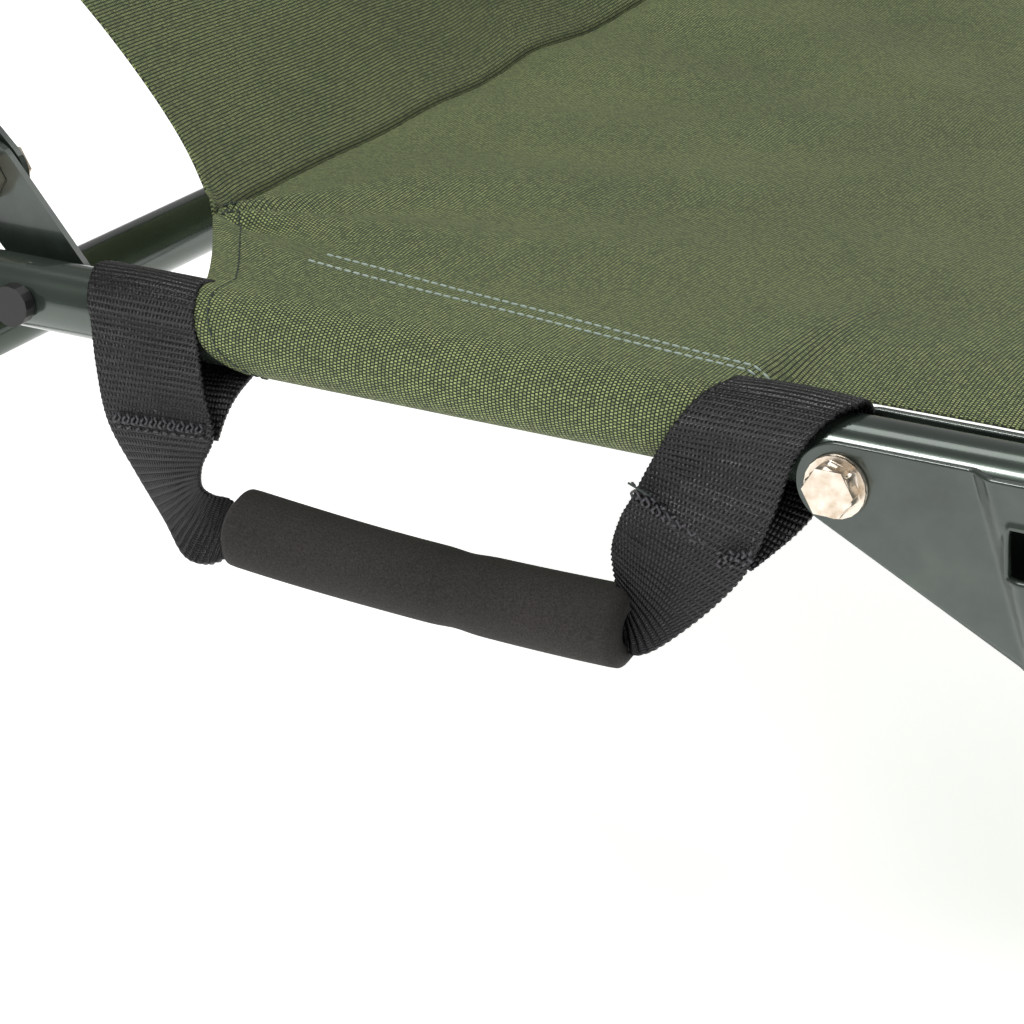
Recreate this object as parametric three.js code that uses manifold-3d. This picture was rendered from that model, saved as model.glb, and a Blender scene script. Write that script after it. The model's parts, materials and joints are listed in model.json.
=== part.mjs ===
// A tri-fold camping cot with a raised head section and a foam-grip carry handle on its near rail.
// Millimetres, +Z up, +X from the head end to the foot end. Parts are placed from the middle of the
// handle (x), the rail's own plane (y, inboard positive) and the rail's axis (z), and the whole cot is
// then stood on the floor with the origin under the middle of its box.
import * as THREE from 'three';
import * as BufferGeometryUtils from 'three/addons/utils/BufferGeometryUtils.js';
import Module from 'manifold-3d';

const wasm = await Module();
wasm.setup();

// ---------------------------------------------------------------- driving dimensions
const DEG = Math.PI / 180;
const GAP = 0.3; // between touching pieces
const HALF_WIDTH = 335; // middle plane to a rail's axis
const RAIL_HEIGHT = 288; // floor to a rail's axis
const TUBE_R = 11; // rails, frames and light legs
const LEG_R = 12.5; // leg frame under the seat
const WALL = 1.5;
const SIDES = 16; // facets round a tube
const SHEET = 2.5; // hinge plates
const RAIL_HEAD_X = -290;
const RAIL_FOOT_X = 427;
const CLOTH = 1.8;
const CLOTH_Z = 12.5; // underside of the cloth above a tube's axis
const SLEEVE_R = TUBE_R + 2.4;

const HEAD_BOLT_X = -149; // the capped bolt that holds the head lug to the rail
const LUG_R = { bolt: 11, pivot: 12 };
const CAP_BOLT = { head: 6.5, thick: 4.4, nut: 4.5 };
const SEAT_TUBE_X = 395; // cross tube beside the foot hinge
const FOLD_PLATE = { seatX: 400, footX: 462, bossR: 9, pivotR: 12 };
const DROP_PLATE = { top: 9, bottom: 13, boss: 12 };
const LEG_LUG = { top: 8, bottom: 9 };
const FOOT_CUP = { wall: 2.3, up: 20, down: 40 };
const PLUG = { flange: 4, stem: 14 };
const HEAD = { x: -176, z: 30, tilt: 43.7, length: 640, inset: 28.8, tubeStart: 34, bend: 80, arm: 125 };
const FOOT = { x: 430, z: 37, length: 590, tubeStart: 5, bend: 80 };
const BRACKET = {
  x: 125, z: -4, round: 12, sheet: 1.8, face: 13.5, offset: 66, splay: 71, lower: 27,
  margin: 3.5, topRun: 15.5, lowerRun: 84.3, web: [30, 84],
};
const LEG_A = { top: 40, end: 310, brace: 170, reach: 120 };
const LEG_B = { x: -200, z: -31, inset: 28, splay: 71, short: 13 };
const LEG_C = { u: 520, v: -16, inset: 28, splay: 75 };
const LEG_D = { x: 880, z: -18, inset: 28, splay: 75 };
const STRAP = { left: -103, right: 91, width: 38, thick: 1.8, bore: TUBE_R + 0.6, neck: 7, taper: 26 };
const GRIP = { y: -19, z: -56, r: 12, bore: 6, length: 132 };
const BOLT = { shank: 4, flange: 9, flangeThick: 1.6, head: 6.5, headThick: 5, nutThick: 6.5 };
const HEX_CORNER = BOLT.head / Math.cos(30 * DEG);
const SEAT_CLOTH = { head: -104, corner: 255, sleeve: [-82, 69], clear: 26, foot: [238, 381], lap: 3 };
const HEAD_CLOTH = { start: 40, sleeveStart: 150, widen: 10 };
const FOOT_CLOTH = { start: 452, sleeveStart: 490 };
const SLEEVE_BORE = TUBE_R + 0.5;
const SLIT = 15; // sleeve cut back each side of a leg's lug

// ---------------------------------------------------------------- materials
const paint = (look) => new THREE.MeshStandardMaterial(look);
const painted = paint({ color: 0x3a403c, roughness: 0.25, metalness: 0.4 });
const pressed = paint({ color: 0x303733, roughness: 0.35, metalness: 0.4 });
const zinc = paint({ color: 0xcfc3b4, roughness: 0.3, metalness: 0.9 });
const oxford = paint({ color: 0x5d6b42, roughness: 0.85, metalness: 0 });
const webbing = paint({ color: 0x141214, roughness: 0.7, metalness: 0 });
const foam = paint({ color: 0x2b2826, roughness: 0.95, metalness: 0 });
const rubber = paint({ color: 0x1b1b1a, roughness: 0.8, metalness: 0 });

const SIDE = { near: -1, far: 1 };
const across = (side, y) => SIDE[side] * (HALF_WIDTH - y);

// ---------------------------------------------------------------- small geometry helpers
/** A closed geometry as a manifold solid. */
function solid(geometry) {
  const bare = geometry.clone();
  bare.deleteAttribute('normal');
  bare.deleteAttribute('uv');
  const merged = BufferGeometryUtils.mergeVertices(bare, 1e-4);
  const mesh = new wasm.Mesh({
    numProp: 3,
    vertProperties: new Float32Array(merged.attributes.position.array),
    triVerts: new Uint32Array(merged.index.array),
  });
  mesh.merge();
  return new wasm.Manifold(mesh);
}

/** A manifold solid as a geometry. */
function surface(body) {
  const mesh = body.getMesh();
  const geometry = new THREE.BufferGeometry();
  geometry.setAttribute('position', new THREE.BufferAttribute(mesh.vertProperties, 3));
  geometry.setIndex(new THREE.BufferAttribute(mesh.triVerts, 1));
  geometry.computeVertexNormals();
  return geometry;
}

const join = (...parts) => surface(parts.map(solid).reduce((a, b) => a.add(b)));
const cut = (part, ...tools) => surface(tools.map(solid).reduce((a, b) => a.subtract(b), solid(part)));

/** A polygon with vertices at its quarter points, so a lying tube touches the floor at its full radius. */
function ringShape(outer, inner, sides = SIDES) {
  const loop = (r) => Array.from({ length: sides }, (_, i) => new THREE.Vector2(
    r * Math.cos((2 * Math.PI * i) / sides), r * Math.sin((2 * Math.PI * i) / sides)));
  const shape = new THREE.Shape(loop(outer));
  if (inner > 0) shape.holes.push(new THREE.Path(loop(inner).reverse()));
  return shape;
}

/** A straight tube between two points, open at both ends, or a bar when inner is 0. */
function rod(from, to, outer, inner = outer - WALL, sides = SIDES) {
  const way = to.clone().sub(from);
  const shape = ringShape(outer, inner, sides);
  const geometry = new THREE.ExtrudeGeometry(shape, { depth: way.length(), bevelEnabled: false });
  const turn = new THREE.Quaternion().setFromUnitVectors(new THREE.Vector3(0, 0, 1), way.normalize());
  geometry.applyQuaternion(turn);
  return geometry.translate(from.x, from.y, from.z);
}

/** A pin along y, centred on (x, z), from yA to yB. */
function pin(x, z, yA, yB, radius, sides = 12) {
  const [low, high] = [Math.min(yA, yB), Math.max(yA, yB)];
  return rod(new THREE.Vector3(x, low, z), new THREE.Vector3(x, high, z), radius, 0, sides);
}

/** A flat plate: an outline in x and z, from yA to yB. */
function plate(outline, yA, yB) {
  const [low, high] = [Math.min(yA, yB), Math.max(yA, yB)];
  const options = { depth: high - low, bevelEnabled: false, curveSegments: 8 };
  return new THREE.ExtrudeGeometry(outline, options).rotateX(Math.PI / 2).translate(0, high, 0);
}

/** A box from its lowest to its highest corner. */
function block(low, high) {
  const size = high.map((h, i) => h - low[i]);
  const centre = high.map((h, i) => (h + low[i]) / 2);
  return new THREE.BoxGeometry(...size).translate(...centre);
}

/** An outline round two circles: a link between two pivots, in x and z. */
function linkShape(ax, az, bx, bz, ra, rb = ra) {
  const angle = Math.atan2(bz - az, bx - ax);
  const lean = Math.acos((ra - rb) / Math.hypot(bx - ax, bz - az));
  const shape = new THREE.Shape();
  shape.absarc(ax, az, ra, angle + lean, angle - lean + 2 * Math.PI, false);
  shape.absarc(bx, bz, rb, angle - lean, angle + lean, false);
  shape.closePath();
  return shape;
}

/** A tube's path: straight, one bend, straight, sampled only where it turns. */
class BentPath extends THREE.Curve {
  constructor(start, corner, end, radius, turns = 6) {
    super();
    const a = start.clone().sub(corner).normalize();
    const b = end.clone().sub(corner).normalize();
    const centre = corner.clone().addScaledVector(a, radius).addScaledVector(b, radius);
    this.stations = [start];
    for (let i = 0; i <= turns; i += 1) {
      const t = (i / turns) * (Math.PI / 2);
      const offset = b.clone().multiplyScalar(-radius * Math.cos(t));
      offset.addScaledVector(a, -radius * Math.sin(t));
      this.stations.push(centre.clone().add(offset));
    }
    this.stations.push(end);
    this.directions = this.stations.map((_, i) => {
      if (i === 0 || i === 1) return a.clone().negate();
      if (i >= turns + 1) return b.clone();
      const t = ((i - 1) / turns) * (Math.PI / 2);
      return a.clone().multiplyScalar(-Math.cos(t)).addScaledVector(b, Math.sin(t)).normalize();
    });
    this.steps = this.stations.length - 1;
  }

  getPoint(t) {
    return this.stations[Math.round(t * this.steps)].clone();
  }

  getPointAt(t) {
    return this.getPoint(t);
  }

  getTangentAt(t) {
    return this.directions[Math.round(t * this.steps)].clone();
  }

  getSpacedPoints() {
    return this.stations;
  }
}

function bentTube(path, radius) {
  const options = { steps: path.steps, extrudePath: path, bevelEnabled: false };
  return new THREE.ExtrudeGeometry(ringShape(radius, radius - WALL), options);
}

/** A flanged hexagon bolt with its nut, along y: the head's underside at yHead, the nut's at yNut. */
function boltGeometry(x, z, yHead, yNut) {
  const out = Math.sign(yHead - yNut);
  const flangeEnd = yHead + out * BOLT.flangeThick;
  return join(
    pin(x, z, yHead, flangeEnd, BOLT.flange, 20),
    pin(x, z, flangeEnd - out * 0.2, flangeEnd + out * BOLT.headThick, HEX_CORNER, 6),
    pin(x, z, yHead + out * 0.2, yNut - out * BOLT.nutThick, BOLT.shank, 12),
    pin(x, z, yNut, yNut - out * BOLT.nutThick, HEX_CORNER, 6),
  );
}

const hole = (x, z, side, yA, yB) => pin(x, z, across(side, yA), across(side, yB), BOLT.shank + GAP);

function piece(name, geometry, material) {
  const mesh = new THREE.Mesh(geometry, material);
  mesh.name = name;
  return mesh;
}

// ---------------------------------------------------------------- the seat: the section between the folds
function seatRails(side) {
  const y = across(side, 0);
  const tube = rod(new THREE.Vector3(RAIL_HEAD_X, y, 0), new THREE.Vector3(RAIL_FOOT_X, y, 0), TUBE_R);
  const drilled = cut(
    tube,
    hole(BRACKET.x, BRACKET.z, side, -20, 20),
    hole(HEAD_BOLT_X, 0, side, -20, 20));
  const plug = rod(
    new THREE.Vector3(RAIL_HEAD_X - PLUG.flange, y, 0),
    new THREE.Vector3(RAIL_HEAD_X - GAP, y, 0), TUBE_R, 0);
  const stem = rod(
    new THREE.Vector3(RAIL_HEAD_X - 1, y, 0),
    new THREE.Vector3(RAIL_HEAD_X + PLUG.stem, y, 0), TUBE_R - WALL - GAP, 0);
  return [
    piece(`${side}_seat_rail`, drilled, painted),
    piece(`${side}_rail_end_plug`, join(plug, stem), rubber),
  ];
}

/** The plate that lifts the head section's pivot above the rail, and its capped bolt. */
function headLug(side) {
  const inner = TUBE_R + GAP;
  const nutY = inner + SHEET + GAP;
  const lug = cut(
    plate(
      linkShape(HEAD_BOLT_X, 0, HEAD.x, HEAD.z, LUG_R.bolt, LUG_R.pivot),
      across(side, inner), across(side, inner + SHEET)),
    hole(HEAD_BOLT_X, 0, side, 5, 25),
    hole(HEAD.x, HEAD.z, side, 5, 25));
  const capY = -TUBE_R - 0.6;
  const cap = join(
    pin(HEAD_BOLT_X, 0, across(side, capY), across(side, capY - CAP_BOLT.thick), CAP_BOLT.head, 16),
    pin(HEAD_BOLT_X, 0, across(side, capY - 0.2), across(side, nutY + CAP_BOLT.nut + 0.1), BOLT.shank, 12),
    pin(HEAD_BOLT_X, 0, across(side, nutY), across(side, nutY + CAP_BOLT.nut), CAP_BOLT.head, 6));
  const pivotBolt = boltGeometry(
    HEAD.x, HEAD.z, across(side, inner + 2 * SHEET + 1.5), across(side, inner - GAP));
  return [
    piece(`${side}_head_lug`, lug, pressed),
    piece(`${side}_head_lug_bolt`, cap, rubber),
    piece(`${side}_head_pivot_bolt`, pivotBolt, zinc),
  ];
}

/** The plate under the rail that carries the head-side leg frame on a pressed boss. */
function dropPlate(side) {
  const inner = TUBE_R + GAP;
  const outline = linkShape(LEG_B.x, 0, LEG_B.x, LEG_B.z, DROP_PLATE.top, DROP_PLATE.bottom);
  const leaf = plate(outline, across(side, inner), across(side, inner + SHEET));
  const boss = pin(
    LEG_B.x, LEG_B.z, across(side, inner + SHEET - 0.2), across(side, inner + SHEET + DROP_PLATE.boss),
    TUBE_R - WALL - GAP, 16);
  return piece(`${side}_leg_drop_plate`, join(leaf, boss), pressed);
}

/** The fold plates beside the foot hinge: one on the seat rail, one on the foot tube. */
function foldPlate(side, fixedX, near, far) {
  const shape = linkShape(fixedX, 0, FOOT.x, FOOT.z, FOLD_PLATE.bossR, FOLD_PLATE.pivotR);
  const leaf = plate(shape, across(side, near), across(side, far));
  return cut(leaf, hole(FOOT.x, FOOT.z, side, -30, 0));
}

function seatCrossTube() {
  const reach = HALF_WIDTH - TUBE_R - GAP;
  const tube = rod(
    new THREE.Vector3(SEAT_TUBE_X, -reach, 0),
    new THREE.Vector3(SEAT_TUBE_X, reach, 0), TUBE_R);
  return piece('seat_cross_tube', tube, painted);
}

/** Cloth over two side tubes: a flat sheet with a sleeve round each tube where it is not cut away. */
function clothPanel(outline, sleeves, halfWidth, extra = []) {
  const flat = new THREE.ExtrudeGeometry(outline, { depth: CLOTH, bevelEnabled: false });
  flat.translate(0, 0, CLOTH_Z);
  const rings = sleeves.flatMap(([from, to]) => [-1, 1].map((s) => rod(
    new THREE.Vector3(from, s * halfWidth, 0),
    new THREE.Vector3(to, s * halfWidth, 0), SLEEVE_R, SLEEVE_BORE)));
  return join(flat, ...rings, ...extra);
}

/** Mirrors a half outline about y = 0 into a closed shape. */
function mirroredShape(half) {
  const far = half.map(([x, y]) => new THREE.Vector2(x, y));
  const near = half.slice().reverse().map(([x, y]) => new THREE.Vector2(x, -y));
  return new THREE.Shape([...near, ...far].reverse());
}

function seatCloth() {
  const edge = HALF_WIDTH + SEAT_CLOTH.lap;
  const back = HALF_WIDTH - SEAT_CLOTH.clear;
  const [s0, s1] = SEAT_CLOTH.sleeve;
  const [f0, f1] = SEAT_CLOTH.foot;
  const half = [
    [SEAT_CLOTH.head, SEAT_CLOTH.corner], [SEAT_CLOTH.head, back],
    [s0, back + 4], [s0, edge], [s1, edge], [s1, back + 2],
    [f0, back - 6], [f0, edge], [f1, edge],
  ];
  const sleeves = [SEAT_CLOTH.sleeve, SEAT_CLOTH.foot];
  return piece('seat_cloth', clothPanel(mirroredShape(half), sleeves, HALF_WIDTH), oxford);
}

// ---------------------------------------------------------------- the head section, built flat about its pivot
function headSection() {
  const group = new THREE.Group();
  group.position.set(HEAD.x, 0, HEAD.z);
  group.rotation.y = HEAD.tilt * DEG;
  const half = HALF_WIDTH - HEAD.inset;
  for (const side of ['near', 'far']) {
    const y = SIDE[side] * half;
    const path = new BentPath(
      new THREE.Vector3(-HEAD.tubeStart, y, 0), new THREE.Vector3(-HEAD.length, y, 0),
      new THREE.Vector3(-HEAD.length, SIDE[side] * GAP, 0), HEAD.bend);
    group.add(piece(`${side}_head_tube`, bentTube(path, TUBE_R), painted));
    const armY = TUBE_R + GAP + SHEET + 1.2;
    const arm = cut(
      plate(linkShape(0, 0, -HEAD.arm, 0, 12, 12), across(side, armY), across(side, armY + SHEET)),
      hole(0, 0, side, 5, 30));
    group.add(piece(`${side}_head_arm`, arm, pressed));
    const lugY = HEAD.inset + TUBE_R + GAP;
    const legLug = plate(
      linkShape(-LEG_C.u, 0, -LEG_C.u, LEG_C.v, LEG_LUG.top, LEG_LUG.bottom),
      across(side, lugY), across(side, lugY + SHEET));
    group.add(piece(`${side}_head_leg_lug`, legLug, pressed));
  }
  const { lap, clear } = SEAT_CLOTH;
  const bendX = HEAD.bend - HEAD.length;
  const sleeves = [[bendX + 10, -LEG_C.u - SLIT], [-LEG_C.u + SLIT, -HEAD_CLOTH.sleeveStart]];
  const outline = mirroredShape([
    [-HEAD.length - lap, half - HEAD.bend], [bendX - lap, half + lap],
    [-HEAD_CLOTH.sleeveStart - HEAD_CLOTH.widen, half + lap], [-HEAD_CLOTH.start, half - clear],
  ]);
  const endSleeve = rod(
    new THREE.Vector3(-HEAD.length, HEAD.bend - half, 0),
    new THREE.Vector3(-HEAD.length, half - HEAD.bend, 0), SLEEVE_R, SLEEVE_BORE);
  group.add(piece('head_cloth', clothPanel(outline, sleeves, half, [endSleeve]), oxford));
  group.add(lightLeg('head_leg', -LEG_C.u, LEG_C.v, half - LEG_C.inset, 0, LEG_C_LENGTH));
  return group;
}

// ---------------------------------------------------------------- the foot section
function footSection() {
  const parts = [];
  for (const side of ['near', 'far']) {
    const y = across(side, 0);
    const end = FOOT.x + FOOT.length;
    const path = new BentPath(
      new THREE.Vector3(FOOT.x + FOOT.tubeStart, y, 0), new THREE.Vector3(end, y, 0),
      new THREE.Vector3(end, SIDE[side] * GAP, 0), FOOT.bend);
    parts.push(piece(`${side}_foot_tube`, bentTube(path, TUBE_R), painted));
    const outer = -TUBE_R - GAP;
    const hinge = foldPlate(side, FOLD_PLATE.footX, outer - 2 * SHEET - GAP, outer - SHEET - GAP);
    parts.push(piece(`${side}_foot_hinge_plate`, hinge, pressed));
    const lug = plate(
      linkShape(LEG_D.x, 0, LEG_D.x, LEG_D.z, LEG_LUG.top, LEG_LUG.bottom),
      across(side, TUBE_R + GAP), across(side, TUBE_R + GAP + SHEET));
    parts.push(piece(`${side}_foot_leg_lug`, lug, pressed));
  }
  const end = FOOT.x + FOOT.length;
  const edge = HALF_WIDTH + SEAT_CLOTH.lap;
  const bendX = end - FOOT.bend;
  const outline = mirroredShape([
    [FOOT_CLOTH.start, edge], [bendX + SEAT_CLOTH.lap, edge],
    [end + SEAT_CLOTH.lap, HALF_WIDTH - FOOT.bend],
  ]);
  const endSleeve = rod(
    new THREE.Vector3(end, FOOT.bend - HALF_WIDTH, 0),
    new THREE.Vector3(end, HALF_WIDTH - FOOT.bend, 0), SLEEVE_R, SLEEVE_BORE);
  const sleeves = [[FOOT_CLOTH.sleeveStart, LEG_D.x - SLIT], [LEG_D.x + SLIT, bendX - 10]];
  parts.push(piece('foot_cloth', clothPanel(outline, sleeves, HALF_WIDTH, [endSleeve]), oxford));
  const legHalf = HALF_WIDTH - LEG_D.inset;
  parts.push(lightLeg('foot_leg', LEG_D.x, LEG_D.z, legHalf, -LEG_D.splay, LEG_D_LENGTH));
  return parts;
}

// Lengths from the pivot to the floor bar's axis, with the section level.
const LEG_C_LENGTH = (RAIL_HEIGHT - TUBE_R + HEAD.z + LEG_C.v) / Math.sin(LEG_C.splay * DEG);
const LEG_D_LENGTH = (RAIL_HEIGHT - TUBE_R + LEG_D.z) / Math.sin(LEG_D.splay * DEG);

/** Two tubes on a pivot and the bar that stands on the floor; angle is from +X towards +Z. */
function lightLeg(name, x, z, half, angle, length) {
  const group = new THREE.Group();
  const way = new THREE.Vector3(Math.cos(angle * DEG), 0, Math.sin(angle * DEG));
  for (const side of ['near', 'far']) {
    const pivot = new THREE.Vector3(x, SIDE[side] * half, z);
    const from = pivot.clone().addScaledVector(way, -12);
    const to = pivot.clone().addScaledVector(way, length - TUBE_R - GAP);
    group.add(piece(`${side}_${name}_tube`, rod(from, to, TUBE_R), painted));
  }
  const foot = new THREE.Vector3(x, 0, z).addScaledVector(way, length);
  const reach = half + TUBE_R;
  const bar = rod(foot.clone().setY(-reach), foot.clone().setY(reach), TUBE_R);
  group.add(piece(`${name}_floor_bar`, bar, painted));
  return group;
}

// ---------------------------------------------------------------- legs under the seat
/** A rubber foot: a cup over the leg's end, sliced level with the floor. */
function rubberFoot(name, end, way, radius) {
  const from = end.clone().addScaledVector(way, -FOOT_CUP.up);
  const to = end.clone().addScaledVector(way, FOOT_CUP.down);
  const outer = rod(from, to, radius + FOOT_CUP.wall, 0);
  const mouth = from.clone().addScaledVector(way, -5);
  const bore = rod(mouth, end.clone().addScaledVector(way, GAP), radius + GAP, 0);
  const floor = block([-2000, -1000, -RAIL_HEIGHT - 200], [2000, 1000, -RAIL_HEIGHT]);
  return piece(name, cut(outer, bore, floor), rubber);
}

/** The pressed channel that straddles the rail: two cheeks and a web along the lower edge. */
function bracketGeometry(side) {
  const { x, z, round, sheet, face, offset, splay, lower } = BRACKET;
  const legWay = [Math.cos(splay * DEG), -Math.sin(splay * DEG)];
  const legOut = [Math.sin(splay * DEG), Math.cos(splay * DEG)];
  const onLeg = (out, s) => [x + out * legOut[0] + s * legWay[0], z + out * legOut[1] + s * legWay[1]];
  const low = [Math.cos(lower * DEG), -Math.sin(lower * DEG)];
  const onLower = (t, out = round) => [
    x - out * Math.sin(lower * DEG) + t * low[0],
    z - out * Math.cos(lower * DEG) + t * low[1],
  ];
  const margin = LEG_R + BRACKET.margin;
  const [topX] = onLeg(offset + margin, BRACKET.topRun);
  const shape = new THREE.Shape();
  shape.moveTo(...onLower(BRACKET.lowerRun));
  shape.lineTo(...onLeg(offset - margin, LEG_A.reach));
  shape.lineTo(...onLeg(offset + margin, LEG_A.reach));
  shape.lineTo(topX, z + round);
  shape.lineTo(x, z + round);
  shape.absarc(x, z, round, Math.PI / 2, (270 - lower) * DEG, false);
  shape.closePath();
  const [webStart, webEnd] = BRACKET.web;
  const web = new THREE.Shape([
    [webStart, round], [webEnd, round], [webEnd, round - sheet], [webStart, round - sheet],
  ].map(([t, out]) => new THREE.Vector2(...onLower(t, out))));
  return cut(
    join(
      plate(shape, across(side, -face), across(side, -face - sheet)),
      plate(shape, across(side, face), across(side, face + sheet)),
      plate(web, across(side, -face - 0.5), across(side, face + 0.5))),
    hole(x, z, side, -20, 20));
}

/** The foot-side leg frame: brackets, leg tubes, brace and feet. */
function legFrameA() {
  const parts = [];
  const way = new THREE.Vector3(Math.cos(BRACKET.splay * DEG), 0, -Math.sin(BRACKET.splay * DEG));
  const out = new THREE.Vector3(Math.sin(BRACKET.splay * DEG), 0, Math.cos(BRACKET.splay * DEG));
  const axis = new THREE.Vector3(BRACKET.x, 0, BRACKET.z).addScaledVector(out, BRACKET.offset);
  for (const side of ['near', 'far']) {
    const from = axis.clone().addScaledVector(way, LEG_A.top).setY(across(side, 0));
    const to = axis.clone().addScaledVector(way, LEG_A.end).setY(across(side, 0));
    parts.push(piece(`${side}_leg_bracket`, bracketGeometry(side), pressed));
    parts.push(piece(`${side}_seat_leg`, rod(from, to, LEG_R), painted));
    parts.push(rubberFoot(`${side}_seat_leg_foot`, to, way, LEG_R));
  }
  const brace = axis.clone().addScaledVector(way, LEG_A.brace);
  const reach = HALF_WIDTH - LEG_R - GAP;
  const braceTube = rod(brace.clone().setY(-reach), brace.clone().setY(reach), TUBE_R);
  parts.push(piece('seat_leg_brace', braceTube, painted));
  return parts;
}

/** The head-side leg frame: a turning cross tube on the drop plates, with a leg under each end. */
function legFrameB() {
  const parts = [];
  const way = new THREE.Vector3(-Math.cos(LEG_B.splay * DEG), 0, -Math.sin(LEG_B.splay * DEG));
  const axis = new THREE.Vector3(LEG_B.x, 0, LEG_B.z);
  const reach = HALF_WIDTH - TUBE_R - SHEET - 2 * GAP;
  const crossTube = rod(axis.clone().setY(-reach), axis.clone().setY(reach), TUBE_R);
  parts.push(piece('pivot_cross_tube', crossTube, painted));
  const length = (RAIL_HEIGHT + LEG_B.z) / Math.sin(LEG_B.splay * DEG) - LEG_B.short;
  for (const side of ['near', 'far']) {
    const y = across(side, LEG_B.inset);
    const from = axis.clone().addScaledVector(way, TUBE_R + GAP).setY(y);
    const to = axis.clone().addScaledVector(way, length).setY(y);
    parts.push(piece(`${side}_cross_tube_leg`, rod(from, to, TUBE_R), painted));
    parts.push(rubberFoot(`${side}_cross_tube_leg_foot`, to, way, TUBE_R));
  }
  return parts;
}

// ---------------------------------------------------------------- the carry handle on the near rail
/** Webbing looped round the rail, its two layers brought together and narrowed into the grip's end. */
function strap(name, x, gripSide) {
  const y = across('near', 0);
  const loop = rod(
    new THREE.Vector3(x - STRAP.width / 2, y, 0),
    new THREE.Vector3(x + STRAP.width / 2, y, 0), STRAP.bore + STRAP.thick, STRAP.bore);
  const endX = gripSide * (GRIP.length / 2 + 1);
  const half = STRAP.width / 2;
  const neckRight = endX + (gripSide > 0 ? 2 * STRAP.neck : 0);
  const neckLeft = endX - (gripSide < 0 ? 2 * STRAP.neck : 0);
  const tail = new THREE.Shape([
    [x - half, 0], [x + half, 0], [x + half, -STRAP.taper],
    [neckRight, GRIP.z + 2], [endX + gripSide * STRAP.neck, GRIP.z - 8],
    [neckLeft, GRIP.z + 2], [x - half, -STRAP.taper],
  ].map((p) => new THREE.Vector2(...p)));
  const lean = Math.atan2(-GRIP.y - TUBE_R - 2, -GRIP.z);
  const layers = plate(tail, 0, 2 * STRAP.thick).rotateX(-lean);
  layers.translate(0, across('near', -STRAP.bore - 0.2 - 2 * STRAP.thick), 0);
  return piece(name, join(loop, layers), webbing);
}

function handle() {
  const y = across('near', GRIP.y);
  const end = (x) => new THREE.Vector3(x, y, GRIP.z);
  const half = GRIP.length / 2;
  return [
    strap('head_side_handle_strap', STRAP.left, -1),
    strap('foot_side_handle_strap', STRAP.right, 1),
    piece('handle_grip', rod(end(-half), end(half), GRIP.r, GRIP.bore, 20), foam),
    piece('handle_core_webbing', rod(end(4 - half), end(half - 4), GRIP.bore - 0.8, 0, 8), webbing),
  ];
}

// ---------------------------------------------------------------- assembly
const parts = new THREE.Group();
for (const side of ['near', 'far']) {
  parts.add(...seatRails(side), ...headLug(side), dropPlate(side));
  const outer = -TUBE_R - GAP;
  const plateGeometry = foldPlate(side, FOLD_PLATE.seatX, outer - SHEET, outer);
  parts.add(piece(`${side}_seat_hinge_plate`, plateGeometry, pressed));
  const hingeBolt = boltGeometry(
    FOOT.x, FOOT.z, across(side, outer - 2 * SHEET - 2 * GAP), across(side, outer + GAP));
  parts.add(piece(`${side}_foot_hinge_bolt`, hingeBolt, zinc));
  const cheek = BRACKET.face + BRACKET.sheet + GAP;
  const bracketBolt = boltGeometry(BRACKET.x, BRACKET.z, across(side, -cheek), across(side, cheek));
  parts.add(piece(`${side}_bracket_bolt`, bracketBolt, zinc));
}
parts.add(seatCrossTube(), seatCloth(), headSection(), ...footSection());
parts.add(...legFrameA(), ...legFrameB(), ...handle());

const group = new THREE.Group();
group.add(parts);
group.updateMatrixWorld(true);
const box = new THREE.Box3().setFromObject(parts, true);
parts.position.set(-(box.min.x + box.max.x) / 2, -(box.min.y + box.max.y) / 2, -box.min.z);
group.updateMatrixWorld(true);

export default group;
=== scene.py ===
"""A tri-fold camping cot: enamelled tube, pressed brackets, olive cloth and a carry handle."""

from __future__ import annotations

import json
import logging
import math
from dataclasses import dataclass, field
from enum import Enum
from typing import Callable, Sequence

import bmesh
import bpy
import numpy as np
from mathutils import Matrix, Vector

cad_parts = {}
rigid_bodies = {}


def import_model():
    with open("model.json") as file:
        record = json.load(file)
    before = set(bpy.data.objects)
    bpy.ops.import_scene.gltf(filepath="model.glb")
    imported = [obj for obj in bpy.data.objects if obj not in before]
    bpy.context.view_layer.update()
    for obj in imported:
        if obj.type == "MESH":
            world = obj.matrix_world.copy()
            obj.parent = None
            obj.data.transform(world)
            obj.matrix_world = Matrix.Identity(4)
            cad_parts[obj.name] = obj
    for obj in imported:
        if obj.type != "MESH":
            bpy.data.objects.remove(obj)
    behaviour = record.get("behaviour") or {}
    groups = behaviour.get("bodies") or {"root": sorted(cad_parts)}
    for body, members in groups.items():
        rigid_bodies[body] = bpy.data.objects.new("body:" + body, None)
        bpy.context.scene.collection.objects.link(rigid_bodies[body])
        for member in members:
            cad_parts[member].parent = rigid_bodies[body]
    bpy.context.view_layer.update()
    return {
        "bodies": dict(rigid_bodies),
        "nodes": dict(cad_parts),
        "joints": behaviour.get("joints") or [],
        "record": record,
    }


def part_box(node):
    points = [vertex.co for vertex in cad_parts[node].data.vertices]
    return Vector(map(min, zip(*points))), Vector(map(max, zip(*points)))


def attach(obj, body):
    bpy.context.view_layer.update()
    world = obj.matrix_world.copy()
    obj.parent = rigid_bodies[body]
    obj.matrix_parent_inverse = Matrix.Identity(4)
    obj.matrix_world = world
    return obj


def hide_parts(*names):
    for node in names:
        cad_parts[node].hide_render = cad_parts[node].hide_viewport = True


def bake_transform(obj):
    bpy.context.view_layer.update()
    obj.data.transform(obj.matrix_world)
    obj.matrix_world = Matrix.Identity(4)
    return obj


LOG = logging.getLogger("cot")
MM = 0.001
TUBE_R = 11.0  # millimetres, as all lengths below unless metres are named
LEG_R = 12.5
HEAD_END = 640.0  # head pivot to the head section's end tube
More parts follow.
